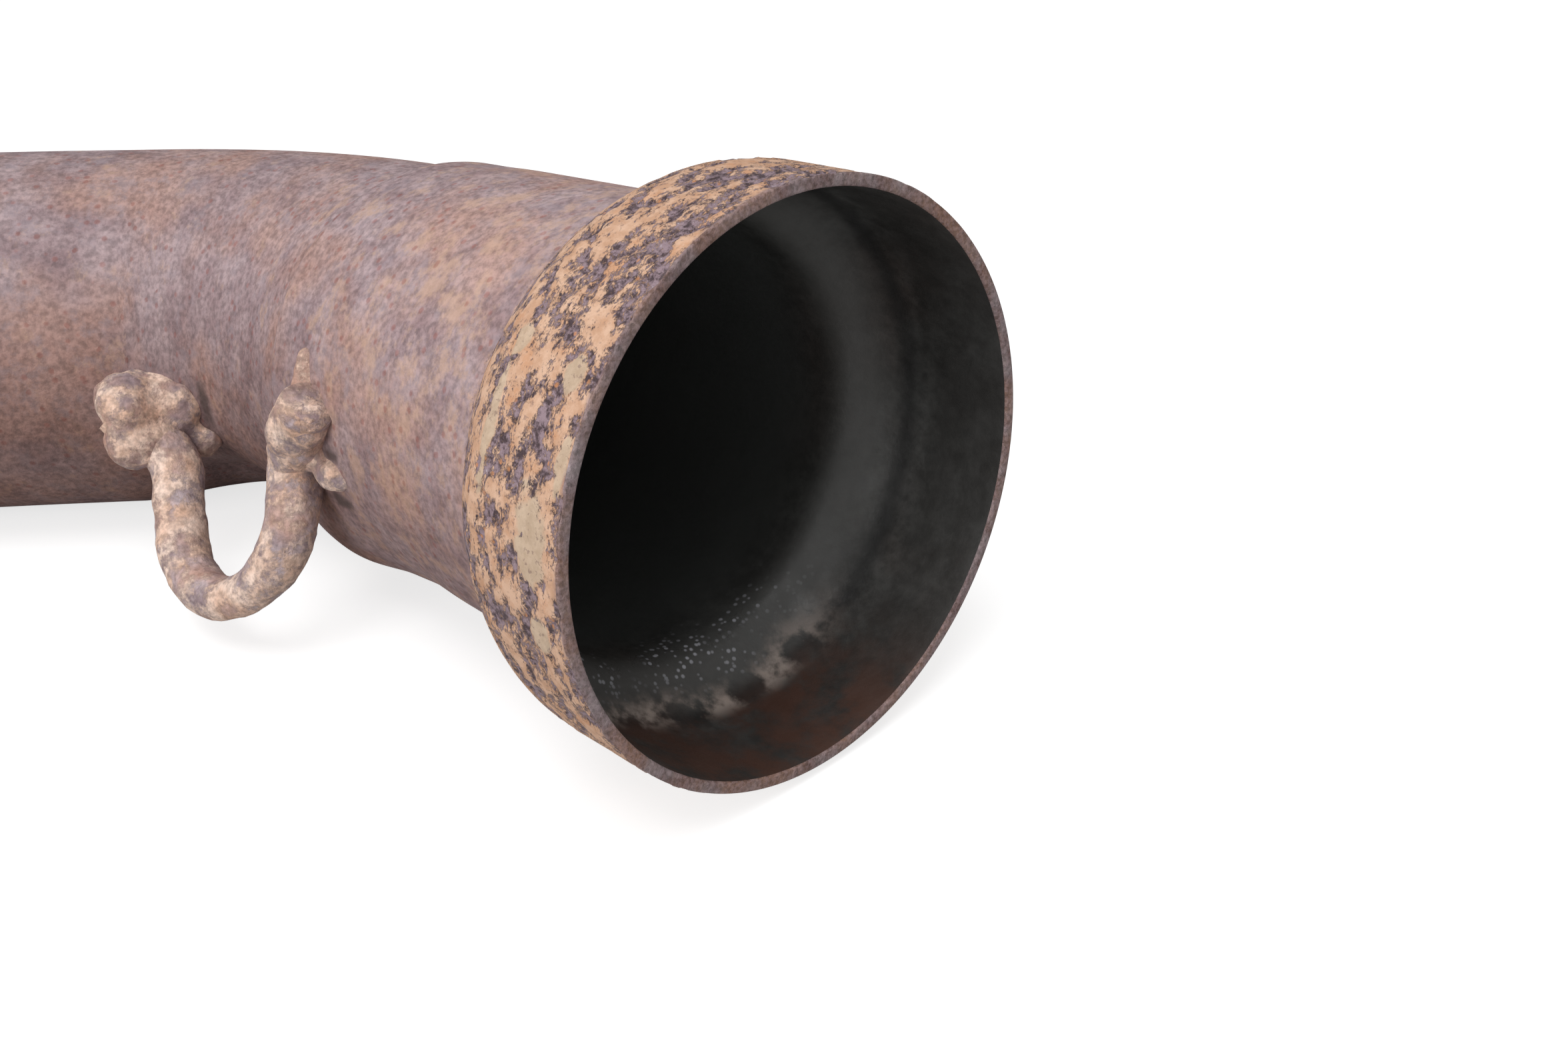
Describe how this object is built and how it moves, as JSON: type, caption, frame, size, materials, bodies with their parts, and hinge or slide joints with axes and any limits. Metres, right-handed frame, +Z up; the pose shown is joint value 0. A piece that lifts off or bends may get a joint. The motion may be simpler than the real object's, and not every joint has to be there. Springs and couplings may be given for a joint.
{
  "type": "corroded pipe",
  "caption": "Rusty bent exhaust head pipe end: round tube swaged to a socket with a belled mouth, and a welded rod hook for a spring.",
  "frame": {"origin": "centre of the tube's plain cut end, on the tube's centre line", "axes": "+X along the straight run towards the bend, +Z up; the mouth opens towards +X and -Y; the floor that the pipe lies on is at z = -0.01905"},
  "size_m": [0.3881, 0.0922, 0.0513],
  "materials": {
    "rusted_tube": "mild steel tube under an even brown rust, tan and purple-grey patches on the bell, soot black inside",
    "rusted_rod": "round steel rod under a mottled tan and purple-grey rust",
    "rusted_weld": "rough weld metal under tan rust"
  },
  "bodies": {
    "root": {"pipe": "rusted_tube", "spring_hook": "rusted_rod", "tube_weld": "rusted_weld", "socket_weld": "rusted_weld"}
  },
  "joints": []
}
